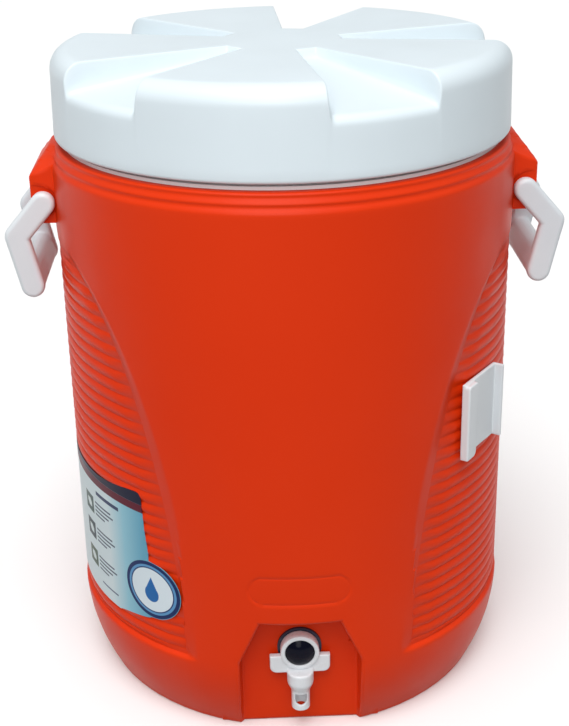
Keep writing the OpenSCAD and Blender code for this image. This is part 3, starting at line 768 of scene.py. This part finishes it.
BARREL_R, BARREL_IN, BARREL_OUT, RING_T, RING_BORE = 13.6, 139.5, 147.5, 2.0, 10.4
SHANK_R, SHANK_IN, SEAT_IN, POCKET_IN, POCKET_R = 9.8, 114.0, 129.5, 131.5, 8.6
CHAMBER_IN, CHAMBER_R, INLET_R, SEAT_BORE = 140.7, 11.5, 7.2, 4.4
SPOUT_AT, SPOUT_R, TIP_R, SPOUT_BORE, TIP_BORE = 147.0, 9.3, 6.5, 6.1, 4.6
TIP_Z, NECK_LOW_Z, NECK_HIGH_Z, SPOUT_TOP_Z = 18.5, 32.5, 41.0, 49.3
WING_HALF, WING_AT, WING_T = 21.2, 140.4, 5.0
WINDOW_HALF, WINDOW_H, WINDOW_FOOT = 4.0, 13.5, 4.5
FEED_R, FEED_AT = 2.2, 143.2            # the way down from the chamber into the spout
SLACK = 0.3                             # keeps the skin of the chamber off the button's flange
FAR = 175                               # beyond everything in front of the jug
BUTTON_R, FLANGE_R, FLANGE_T, DOME_R, DOME_UP = 10.3, 11.3, 1.5, 15.6, 3.0

def s_curve(r0, r1, z0, z1, n=10):
    t = np.linspace(0, 1, n + 1)
    k = t * t * (3 - 2 * t)
    return np.column_stack([r0 + (r1 - r0) * k, z0 + (z1 - z0) * t]).tolist()


def placed(verts, kind):
    """Spigot parts: 'axis' ones are made along +Z and laid out from the axis at SPIGOT_Z; 'spout' ones
    stand at the spout."""
    if kind == "axis":
        return turned(verts, "y-") + [0, 0, SPIGOT_Z]
    return verts + [0, -SPOUT_AT, 0]


def build_spigot():
    solids, cuts = [], []

    def add(store, vf, kind):
        ob = mesh_object("spigot_part", [(placed(vf[0], kind), vf[1])])
        outward(ob)
        store.append(ob)

    barrel_end = BARREL_OUT - RING_T
    shank = lathe([(0, SHANK_IN), (SHANK_R - 0.8, SHANK_IN), (SHANK_R, SHANK_IN + 0.8),
                   (SHANK_R, BARREL_IN + 1), (0, BARREL_IN + 1)], 96)
    add(solids, rod(BARREL_R, BARREL_IN, barrel_end, 96), "axis")
    wing = np.vstack([[[WING_HALF, -3.5], [-WING_HALF, -3.5]], arc((-WING_HALF + 5, -12.5), 5, 180, 270, 8),
                      arc((WING_HALF - 5, -12.5), 5, 270, 360, 8)])
    add(solids, prism(wing, WING_AT, WING_AT + WING_T, 1.2, 3), "axis")
    add(solids, lathe([(0, TIP_Z), (TIP_R - 0.5, TIP_Z), (TIP_R, TIP_Z + 0.5)] +
                      s_curve(TIP_R, SPOUT_R, NECK_LOW_Z, NECK_HIGH_Z) +
                      [(SPOUT_R, SPOUT_TOP_Z - 1.2), (SPOUT_R - 0.4, SPOUT_TOP_Z - 0.35),
                       (SPOUT_R - 1.2, SPOUT_TOP_Z), (0, SPOUT_TOP_Z)], 96), "spout")
    add(cuts, rod(CHAMBER_R + SLACK, CHAMBER_IN - SLACK, FAR, 96), "axis")
    add(cuts, lathe([(0, TIP_Z - 1), (TIP_BORE, TIP_Z - 1)] +
                    s_curve(TIP_BORE, SPOUT_BORE, NECK_LOW_Z + 1, NECK_HIGH_Z + 1) +
                    [(SPOUT_BORE, SPOUT_TOP_Z - 2.3), (0, SPOUT_TOP_Z - 2.3)], 96), "spout")
    v, f = rod(FEED_R, SPOUT_TOP_Z - 5, SPOUT_TOP_Z + 3, 32)
    add(cuts, (v + [0, SPOUT_AT - FEED_AT, 0], f), "spout")
    window = np.vstack([[[WINDOW_HALF, TIP_Z + WINDOW_H], [-WINDOW_HALF, TIP_Z + WINDOW_H]],
                        arc((0, TIP_Z + WINDOW_HALF + WINDOW_FOOT), WINDOW_HALF, 180, 360, 16)])
    add(cuts, prism(window - [0, SPIGOT_Z], SPOUT_AT, SPOUT_AT + 20), "axis")
    # room behind the spout for the gasket, and in front of the barrel for the ring
    low, high = NECK_HIGH_Z - 14 - SPIGOT_Z, SPOUT_TOP_Z + 20 - SPIGOT_Z
    behind = np.array([[-30, low], [30, low], [30, high], [-30, high]])
    add(cuts, prism(behind, BARREL_IN - 14, BARREL_IN - 0.001), "axis")
    add(cuts, rod(BARREL_R + 0.15, barrel_end, FAR, 96), "axis")
    body = solids[0]
    boolean(body, solids[1:], "UNION")
    boolean(body, cuts)
    more, bores = [], []
    add(more, shank, "axis")
    for r, n0, n1 in ((INLET_R, SHANK_IN - 1, SEAT_IN), (SEAT_BORE, SEAT_IN - 2, POCKET_IN + 1),
                      (POCKET_R, POCKET_IN, CHAMBER_IN + 1)):
        add(bores, rod(r, n0, n1, 64), "axis")
    boolean(body, more, "UNION")
    for bore in bores:
        boolean(body, [bore])
    body.name = body.data.name = "spigot"
    remesh(body, 0.42, 3)
    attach(body, "jug")
    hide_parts("spigot_body")
    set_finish(body, "spigot_plastic")

    ring = mesh_object("spigot_ring", [lathe([
        (RING_BORE, barrel_end + 0.02), (BARREL_R, barrel_end + 0.02), (BARREL_R, BARREL_OUT - 0.8),
        (BARREL_R - 0.25, BARREL_OUT - 0.25), (BARREL_R - 0.8, BARREL_OUT), (RING_BORE + 0.5, BARREL_OUT),
        (RING_BORE, BARREL_OUT - 0.4)], 128)], 30.0)
    place_on_axis(ring)
    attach(ring, "jug")
    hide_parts("spigot_retaining_ring")
    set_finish(ring, "spigot_plastic")

    dome_top = BARREL_OUT + DOME_UP
    widest = math.sin(math.radians(41.3))
    dome = [(BUTTON_R * math.sin(a) / widest, dome_top - DOME_R * (1 - math.cos(a)))
            for a in map(math.radians, (39.5, 35, 30, 25, 20, 15, 10, 5))]
    flange = barrel_end - 0.1
    button = mesh_object("spigot_button", [lathe(
        [(0, flange - FLANGE_T), (FLANGE_R, flange - FLANGE_T), (FLANGE_R, flange - 0.1),
         (FLANGE_R - 0.1, flange), (BUTTON_R, flange), (BUTTON_R, dome[0][1] - 0.45)] +
        dome + [(0, dome_top)], 128)], 30.0)
    place_on_axis(button)
    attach(button, "button")
    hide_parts("spigot_button")
    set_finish(button, "button_plastic")


def place_on_axis(ob):
    write_points(ob.data, turned(read_points(ob.data), "y-") + [0, 0, SPIGOT_Z * MM])
    outward(ob)
    finish_shading(ob, 30.0)

# ---- bracket, label, plugs

BRACKET_AZ = 54.0
PLATE_T0, PLATE_T1, PLATE_BACK, PLATE_T, PLATE_Z0, PLATE_H = -29.0, 18.0, 159.7, 2.6, 196.0, 54.0
EDGE_W, EDGE_UP, EDGE_DOWN, LIP_UP = 13.0, 3.6, 2.0, 6.0
EDGE_LOW_R, EDGE_TOP_R = 4, 2
PEG_R, PEG_IN, PEG_T, PEG_Z = 3.2, 156.0, -3.0, (14.0, 45.0)


def build_bracket():
    face = PLATE_BACK + PLATE_T
    a = math.radians(BRACKET_AZ)
    solids = []

    def add(v, f, shift=(0, 0, 0)):
        """A solid made along +Z from the jug's axis, with its outline in (t, z)."""
        p = turned(v, "y-") + shift
        x = p[:, 0] * math.cos(a) - p[:, 1] * math.sin(a)
        y = p[:, 0] * math.sin(a) + p[:, 1] * math.cos(a)
        ob = mesh_object("bracket_part", [(np.column_stack([x, y, p[:, 2]]), f)])
        outward(ob)
        solids.append(ob)

    low, high = PLATE_Z0 - EDGE_DOWN, PLATE_Z0 + PLATE_H
    rect = lambda t0, t1: np.array([[t0, PLATE_Z0], [t1, PLATE_Z0], [t1, high], [t0, high]], float)
    add(*prism(rect(PLATE_T0, PLATE_T1), PLATE_BACK, face, 0.5, 2))
    r, k, top = EDGE_LOW_R, EDGE_TOP_R, high - EDGE_TOP_R - 0.6
    front = np.vstack([[[PLATE_T0, low]], arc((PLATE_T0 + EDGE_W - r, low + r), r, 270, 360, 6),
                       arc((PLATE_T0 + EDGE_W - k, top), k, 0, 90, 4),
                       arc((PLATE_T0 + k, top), k, 90, 180, 4)])
    add(*prism(front, PLATE_BACK, face + EDGE_UP, 1.0, 2))
    add(*prism(rect(PLATE_T1 - PLATE_T, PLATE_T1), PLATE_BACK, face + LIP_UP, 0.7, 2))
    for z in PEG_Z:
        add(*rod(PEG_R, PEG_IN, PLATE_BACK + 1, 32), [PEG_T, 0, PLATE_Z0 + z])
    bracket = solids[0]
    boolean(bracket, solids[1:], "UNION")
    bracket.name = bracket.data.name = "cup_bracket_cover"
    remesh(bracket, 0.6, 3)
    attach(bracket, "jug")
    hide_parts("cup_bracket")
    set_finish(bracket, "bracket_plastic")


LABEL_IN, LABEL_OUT = 159.65, 160.05
LABEL_LEFT, LABEL_TOP, LABEL_BOTTOM = -104.0, 179.0, 73.0
ROUND_AZ, ROUND_Z, ROUND_W, ROUND_H = -39.6, 104.0, 25.5, 22.8
LABEL_COLS, LABEL_ROWS = 90, 120


def label_right(z):
    """Azimuth of the sheet's front edge: a rounded corner, a slanted foot and the round tab."""
    base = np.interp(z, [73, 133, 150, 179], [-40.2, -40.0, -40.8, -41.4])
    cut = np.clip((z - 174.0) / 5.0, 0, 1)
    base = base - np.degrees(5.0 * (1 - np.sqrt(1 - cut ** 2)) / LABEL_OUT)
    low = np.clip((81.0 - z) / 8.0, 0, 1)
    base = base - np.degrees(34.0 * smooth(low) / LABEL_OUT)
    k = 1 - ((z - ROUND_Z) / ROUND_H) ** 2
    tab = ROUND_AZ + np.degrees(ROUND_W * np.sqrt(np.clip(k, 0, 1)) / LABEL_OUT)
    return np.where(k > 0, np.maximum(base, tab), base)


def build_label():
    w, h = LABEL_COLS + 1, LABEL_ROWS + 1
    z = LABEL_BOTTOM + (LABEL_TOP - LABEL_BOTTOM) * np.linspace(0, 1, h)
    right = label_right(z)
    az = LABEL_LEFT + (right[:, None] - LABEL_LEFT) * np.linspace(0, 1, w)[None, :]
    a = np.radians(az)
    # the top edge sinks towards the back
    zz = np.minimum(np.repeat(z[:, None], w, 1), 173.6 + 5.4 * smooth((az + 62.0) / 22.0))
    verts = np.vstack([np.stack([r * np.sin(a), -r * np.cos(a), zz], -1).reshape(-1, 3)
                       for r in (LABEL_OUT, LABEL_IN)])
    n = w * h
    faces = [(k, k + 1, k + 1 + w, k + w) for i in range(h - 1) for k in range(i * w, i * w + w - 1)]
    faces += [tuple(i + n for i in f[::-1]) for f in faces]
    edge = list(range(w)) + [i * w + w - 1 for i in range(1, h)]
    edge += [n - w + j for j in range(w - 2, -1, -1)] + [i * w for i in range(h - 2, 0, -1)]
    faces += [(b, a, a + n, b + n) for a, b in zip(edge, edge[1:] + edge[:1])]
    label = new_object("label_sheet", verts, faces, 40.0)
    outward(label, 1e-6)
    finish_shading(label, 40.0)
    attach(label, "jug")
    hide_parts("label")
    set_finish(label, "label_film")


def build_plugs():
    v, f = lathe([(0, 3.6), (8.6, 3.6), (8.98, 4.0), (8.98, 6.9), (8.6, 7.3), (0, 7.3)], 64)
    parts = [(v + [sx * PLUG_X, 0, 0], f) for sx in (-1, 1)]
    plugs = mesh_object("base_plugs", parts, 30.0)
    outward(plugs)
    finish_shading(plugs, 30.0)
    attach(plugs, "jug")
    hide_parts("foam_plugs")
    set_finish(plugs, "orange_plastic")

# ---- materials


def srgb(r, g, b):
    """Linear colour from 0-255 values."""
    f = lambda c: c / 12.92 if c <= 0.04045 else ((c + 0.055) / 1.055) ** 2.4
    return tuple(f(c / 255.0) for c in (r, g, b)) + (1.0,)


def fill(node, **values):
    """Sets inputs of a node; an underscore in a name stands for a space."""
    for name, value in values.items():
        node.inputs[name.replace("_", " ")].default_value = value


class Nodes:
    """A material's node tree, with short names for the nodes used here."""

    def __init__(self, name):
        self.mat = bpy.data.materials.new(name)
        self.mat.use_nodes = True
        self.tree = self.mat.node_tree
        self.bsdf = self.tree.nodes["Principled BSDF"]

    def new(self, kind, **settings):
        node = self.tree.nodes.new(kind)
        for key, value in settings.items():
            setattr(node, key, value)
        return node

    def link(self, out, into):
        self.tree.links.new(out, into)

    def math(self, op, *values):
        node = self.new("ShaderNodeMath", operation=op)
        for socket, value in zip(node.inputs, values):
            if isinstance(value, (int, float)):
                socket.default_value = value
            else:
                self.link(value, socket)
        return node.outputs[0]

    def coords(self):
        return self.new("ShaderNodeTexCoord").outputs["Object"]

    def noise(self, scale, detail=3.0, rough=0.5):
        node = self.new("ShaderNodeTexNoise")
        fill(node, Scale=scale, Detail=detail, Roughness=rough)
        self.link(self.coords(), node.inputs["Vector"])
        return node.outputs["Fac"]

    def ramp(self, fac, stops):
        node = self.new("ShaderNodeValToRGB")
        el = node.color_ramp.elements
        while len(el) < len(stops):
            el.new(0.5)
        for e, (pos, colour) in zip(el, stops):
            e.position, e.color = pos, colour
        self.link(fac, node.inputs["Fac"])
        return node.outputs["Color"]

    def colour(self, fac, dark, light, low=0.3, high=0.7):
        self.link(self.ramp(fac, [(low, dark), (high, light)]), self.bsdf.inputs["Base Color"])

    def rough(self, fac, low, high):
        node = self.new("ShaderNodeMapRange")
        fill(node, From_Min=0.3, From_Max=0.7, To_Min=low, To_Max=high)
        self.link(fac, node.inputs["Value"])
        self.link(node.outputs["Result"], self.bsdf.inputs["Roughness"])

    def bump(self, height, strength, distance):
        node = self.new("ShaderNodeBump")
        fill(node, Strength=strength, Distance=distance)
        self.link(height, node.inputs["Height"])
        self.link(node.outputs["Normal"], self.bsdf.inputs["Normal"])


def plastic(name, dark, light, rough, specular=0.5):
    """Moulded plastic: a faint drift in colour, an even sheen and a fine grain."""
    n = Nodes(name)
    n.colour(n.noise(9.0), srgb(*dark), srgb(*light), 0.32, 0.68)
    n.rough(n.noise(45.0, 4.0), *rough)
    n.bump(n.noise(1400.0, 2.0, 0.6), 0.05, 0.0002)
    fill(n.bsdf, Specular_IOR_Level=specular)
    return n.mat


def foam(name):
    n = Nodes(name)
    cells = n.new("ShaderNodeTexVoronoi")
    fill(cells, Scale=420.0)
    n.link(n.coords(), cells.inputs["Vector"])
    n.colour(cells.outputs["Distance"], srgb(226, 205, 150), srgb(243, 228, 184), 0.1, 0.7)
    n.rough(n.noise(60.0), 0.8, 0.95)
    n.bump(cells.outputs["Distance"], 0.5, 0.0008)
    return n.mat


def steel(name):
    n = Nodes(name)
    n.colour(n.noise(90.0), srgb(168, 170, 174), srgb(205, 207, 210))
    n.rough(n.noise(300.0, 4.0), 0.18, 0.34)
    n.bump(n.noise(900.0), 0.05, 0.0001)
    fill(n.bsdf, Metallic=1.0)
    return n.mat


def orange_wall(name):
    """The shell's orange: a warm drift over the wall and a fine moulded grain."""
    n = Nodes(name)
    n.colour(n.noise(5.0), srgb(222, 52, 5), srgb(227, 56, 8))
    n.rough(n.noise(30.0, 4.0), 0.36, 0.44)
    n.bump(n.noise(900.0, 3.0, 0.6), 0.06, 0.0003)
    fill(n.bsdf, Specular_IOR_Level=0.16)
    return n.mat


# The label's print, in millimetres: from the round badge's middle along the wall, and above the floor
NAVY, MAROON, INK, PALE_INK = (10, 14, 44), (92, 16, 38), (70, 84, 104), (88, 104, 128)
SHEET = ((0.0, (214, 228, 232)), (0.5, (150, 200, 216)), (1.0, (104, 166, 192)))
BANDS = ((MAROON, 163.5, 169.6), (NAVY, 169.6, 185.0))
ICONS = ((143.5, (48, 78, 74)), (121.6, (30, 52, 62)), (98.5, (60, 84, 66)))     # height and colour
ICON_X, ICON_HALF, ICON_MARK = -76.0, (8.0, 7.0), (4.0, 3.2)
TEXT_X, TEXT_BARS = -65.0, ((4.6, 24.0), (1.4, 27.0), (-1.8, 21.0), (-5.0, 15.0))  # height and length
HEADING, FOOTNOTE = (-62.0, -30.0, 155.2, 158.2), (-62.0, -38.0, 82.0, 83.4)
BADGE = ((0.4, 0.4, (22, 44, 92)), (3.4, 3.2, (96, 150, 196)), (5.4, 5.0, (28, 56, 106)),
         (6.4, 5.9, (222, 234, 241)))                                            # insets and colour
DROP_R, DROP_DOWN, DROP_SLOPE, DROP_HEIGHT = 6.4, 3.2, 0.52, 14.0


def label_print(name):
    """Generic print: two bands, a pale sheet with plain badges and bars for text, and a round badge."""
    n = Nodes(name)
    m = n.math
    sep = n.new("ShaderNodeSeparateXYZ")
    n.link(n.coords(), sep.inputs[0])
    x, y, z = sep.outputs
    az = m("MULTIPLY", m("ARCTAN2", x, m("MULTIPLY", y, -1.0)), 180.0 / math.pi)
    h = m("MULTIPLY", z, 1000.0)
    along = m("MULTIPLY", m("SUBTRACT", az, ROUND_AZ), math.radians(LABEL_OUT))
    above = m("SUBTRACT", h, ROUND_Z)

    def inside(value, low, high, soft=0.25):
        up = m("MULTIPLY_ADD", value, 1.0 / soft, 0.5 - low / soft)
        down = m("MULTIPLY_ADD", value, -1.0 / soft, 0.5 + high / soft)
        node = n.new("ShaderNodeClamp")
        n.link(m("MINIMUM", up, down), node.inputs["Value"])
        return node.outputs[0]

    both = lambda a, b: m("MULTIPLY", a, b)
    rect = lambda x0, x1, z0, z1: both(inside(along, x0, x1), inside(h, z0, z1))

    def ellipse(rw, rh):
        e = m("ADD", m("POWER", m("DIVIDE", along, rw), 2.0), m("POWER", m("DIVIDE", above, rh), 2.0))
        return inside(m("MULTIPLY", m("SQRT", e), rw), -1.0, rw)

    def over(base, colour, mask):
        node = n.new("ShaderNodeMix", data_type="RGBA")
        n.link(mask, node.inputs[0])
        n.link(base, node.inputs[6])
        node.inputs[7].default_value = srgb(*colour)
        return node.outputs[2]

    # pale sheet, darker towards its front edge, with its two bands
    shade = n.new("ShaderNodeMapRange")
    fill(shade, From_Min=-45.0, From_Max=-5.0)
    n.link(along, shade.inputs["Value"])
    col = n.ramp(shade.outputs[0], [(at, srgb(*c)) for at, c in SHEET])
    for c, low, high in BANDS:
        col = over(col, c, inside(h, low, high))
    for z, c in ICONS:
        (w, t), (mw, mt) = ICON_HALF, ICON_MARK
        col = over(col, c, rect(ICON_X - w, ICON_X + w, z - t, z + t))
        slant = inside(m("ADD", along, h), ICON_X + z - 4.5, ICON_X + z + 4.5)
        col = over(col, (214, 226, 226), both(rect(ICON_X - mw, ICON_X + mw, z - mt, z + mt), slant))
        for dz, length in TEXT_BARS:
            col = over(col, INK, rect(TEXT_X, TEXT_X + length, z + dz - 0.7, z + dz + 0.7))
    col = over(col, (46, 62, 96), rect(*HEADING))
    col = over(col, PALE_INK, rect(*FOOTNOTE))
    for dw, dh, c in BADGE:
        col = over(col, c, ellipse(ROUND_W - dw, ROUND_H - dh))
    # water drop: a circle with a point above it
    up = m("ADD", above, DROP_DOWN)
    drop = inside(m("SQRT", m("ADD", m("POWER", along, 2.0), m("POWER", up, 2.0))), -1.0, DROP_R)
    sides = m("ADD", m("ABSOLUTE", along), m("MULTIPLY", up, DROP_SLOPE))
    tip = both(inside(sides, -20.0, 7.0), inside(up, 2.6, DROP_HEIGHT))
    col = over(col, (38, 104, 170), m("MAXIMUM", drop, tip))
    n.link(col, n.bsdf.inputs["Base Color"])
    n.rough(n.noise(40.0), 0.3, 0.4)
    n.bump(n.noise(300.0), 0.03, 0.0002)
    fill(n.bsdf, Specular_IOR_Level=0.12)
    return n.mat


def make_materials():
    return {
        "orange_plastic": orange_wall("orange_wall"),
        "white_plastic": plastic("lid_white", (221, 233, 239), (226, 238, 244), (0.36, 0.44)),
        "handle_plastic": plastic("handle_white", (217, 223, 228), (226, 231, 235), (0.34, 0.42)),
        "liner_plastic": plastic("liner_white", (224, 228, 230), (233, 236, 237), (0.3, 0.4)),
        "gasket_rubber": plastic("gasket_grey", (198, 202, 204), (210, 213, 215), (0.55, 0.65)),
        "seal_rubber": plastic("seal_navy", (28, 33, 52), (36, 42, 64), (0.42, 0.52)),
        "spigot_plastic": plastic("spigot_white", (226, 230, 234), (234, 237, 240), (0.24, 0.32)),
        "button_plastic": plastic("button_navy", (4, 5, 22), (8, 10, 30), (0.12, 0.18), specular=0.1),
        "bracket_plastic": plastic("bracket_white", (219, 224, 228), (228, 232, 235), (0.34, 0.42)),
        "rigid_foam": foam("foam_cells"),
        "spring_steel": steel("spring_steel_wire"),
        "label_film": label_print("label_print"),
    }


def paint(pieces, materials):
    for ob in pieces:
        ob.data.materials.clear()
        ob.data.materials.append(materials[ob["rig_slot"]])
    for ob in NODES.values():
        if not ob.hide_render:
            for held in ob.material_slots:
                held.material = materials[held.material.name.split(".")[0]]


# ---- floor, light and camera

CAMERA_AT = Vector((-0.0327, -0.9367, 0.6234))
CAMERA_AIM = Vector((0.0303, 0.918, -0.3955))
CAMERA_ROLL = -0.0206
LENS = 67.49


def make_floor():
    bm = bmesh.new()
    bmesh.ops.create_grid(bm, x_segments=40, y_segments=40, size=12.0)
    mesh = bpy.data.meshes.new("floor")
    bm.to_mesh(mesh)
    bm.free()
    floor = placed_object("floor", mesh)
    n = Nodes("floor_paper")
    n.colour(n.noise(3.0), srgb(252, 252, 252), srgb(254, 254, 254))
    n.rough(n.noise(8.0), 0.85, 0.95)
    fill(n.bsdf, Specular_IOR_Level=0.1)
    mesh.materials.append(n.mat)
    floor.visible_diffuse = False


def make_lamp(name, kind, energy, towards, at=(0, 0, 0), **settings):
    """A lamp at a place, facing along a direction."""
    data = bpy.data.lights.new(name, kind)
    data.energy = energy
    for key, value in settings.items():
        setattr(data, key, value)
    ob = placed_object(name, data)
    ob.location = at
    ob.rotation_euler = Vector(towards).to_track_quat("-Z", "Y").to_euler()


def make_light():
    world = bpy.data.worlds.new("studio")
    world.use_nodes = True
    new, link = world.node_tree.nodes.new, world.node_tree.links.new
    back = world.node_tree.nodes["Background"]
    split, ramp = new("ShaderNodeSeparateXYZ"), new("ShaderNodeValToRGB")
    height = new("ShaderNodeMapRange")
    fill(height, From_Min=-1.0)
    link(new("ShaderNodeTexCoord").outputs["Generated"], split.inputs[0])
    link(split.outputs["Z"], height.inputs["Value"])
    link(height.outputs["Result"], ramp.inputs["Fac"])
    link(ramp.outputs["Color"], back.inputs["Color"])
    low, high = ramp.color_ramp.elements
    low.position, low.color = 0.35, (0.42, 0.42, 0.42, 1.0)
    high.position, high.color = 0.9, (1.0, 1.0, 1.0, 1.0)
    fill(back, Strength=0.62)
    bpy.context.scene.world = world
    make_lamp("sky", "SUN", 1.5, (0.12, 0.5, -1.3), angle=math.radians(40))
    make_lamp("front", "SUN", 0.4, (0.1, 1.0, -0.45), angle=math.radians(25))
    make_lamp("key", "AREA", 2.1, (0.12, 0.85, 0.36 - 0.85), (-0.12, -0.85, 0.85), shape="SQUARE", size=0.5)


def make_camera():
    forward = CAMERA_AIM.normalized()
    flat = Vector((forward.y, -forward.x, 0.0)).normalized()
    above = flat.cross(forward)
    c, s = math.cos(CAMERA_ROLL), math.sin(CAMERA_ROLL)
    right = flat * c + above * s
    up = above * c - flat * s
    data = bpy.data.cameras.new("camera")
    data.sensor_width, data.sensor_fit, data.lens = 36.0, "AUTO", LENS
    cam = placed_object("camera", data)
    turn = Matrix((right, up, -forward)).transposed()
    cam.matrix_world = Matrix.Translation(CAMERA_AT) @ turn.to_4x4()
    bpy.context.scene.camera = cam
    bpy.context.scene.view_settings.view_transform = "Standard"


# ---- the jug

build_shell()
build_lid()
build_handle("left_handle", "handle_left", -1)
build_handle("right_handle", "handle_right", 1)
build_spigot()
build_bracket()
build_label()
build_plugs()
PIECES = [ob for ob in bpy.data.objects if "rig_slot" in ob]
paint(PIECES, make_materials())
make_floor()
make_light()
make_camera()
